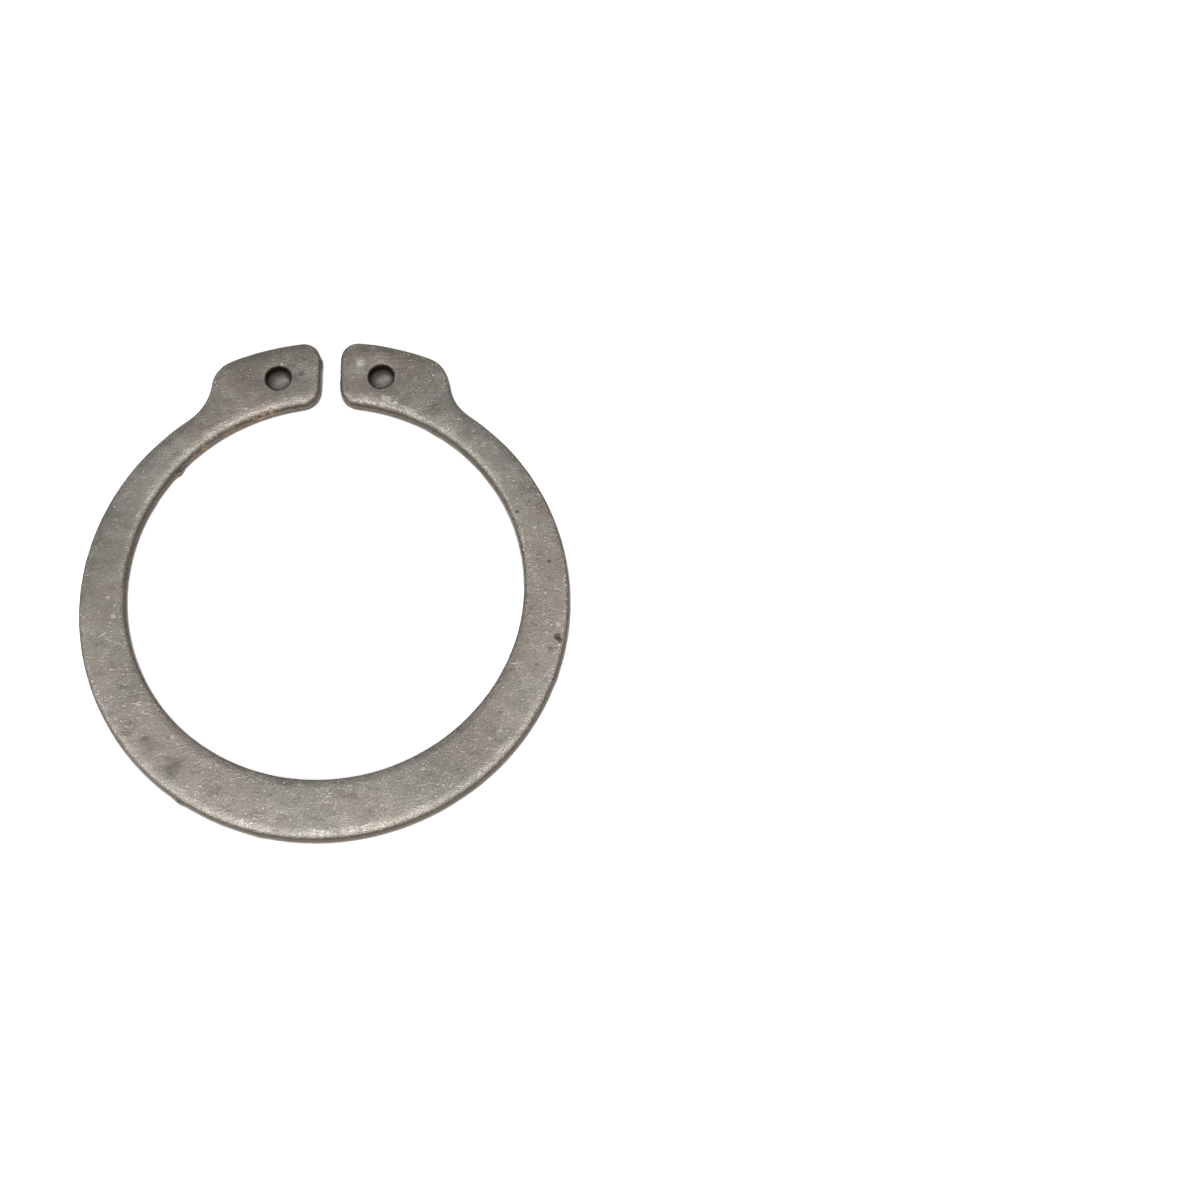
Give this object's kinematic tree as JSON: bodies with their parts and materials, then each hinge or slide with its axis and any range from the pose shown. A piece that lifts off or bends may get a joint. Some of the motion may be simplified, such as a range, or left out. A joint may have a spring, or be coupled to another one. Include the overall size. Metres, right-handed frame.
{
  "type": "external retaining ring",
  "caption": "Stamped spring-steel circlip for a shaft, with a tapered beam and two lugs with plier holes",
  "frame": {"origin": "middle of the bore, on the underside", "axes": "+Z through the plate to its rolled face, +Y from the middle of the bore to the gap, +X to the right-hand lug"},
  "size_m": [0.0394, 0.0423, 0.0015],
  "materials": {
    "spring_steel": "tumbled and phosphated, satin, a little rust on the cut edges"
  },
  "bodies": {
    "root": {"retaining_ring": "spring_steel"}
  },
  "joints": []
}
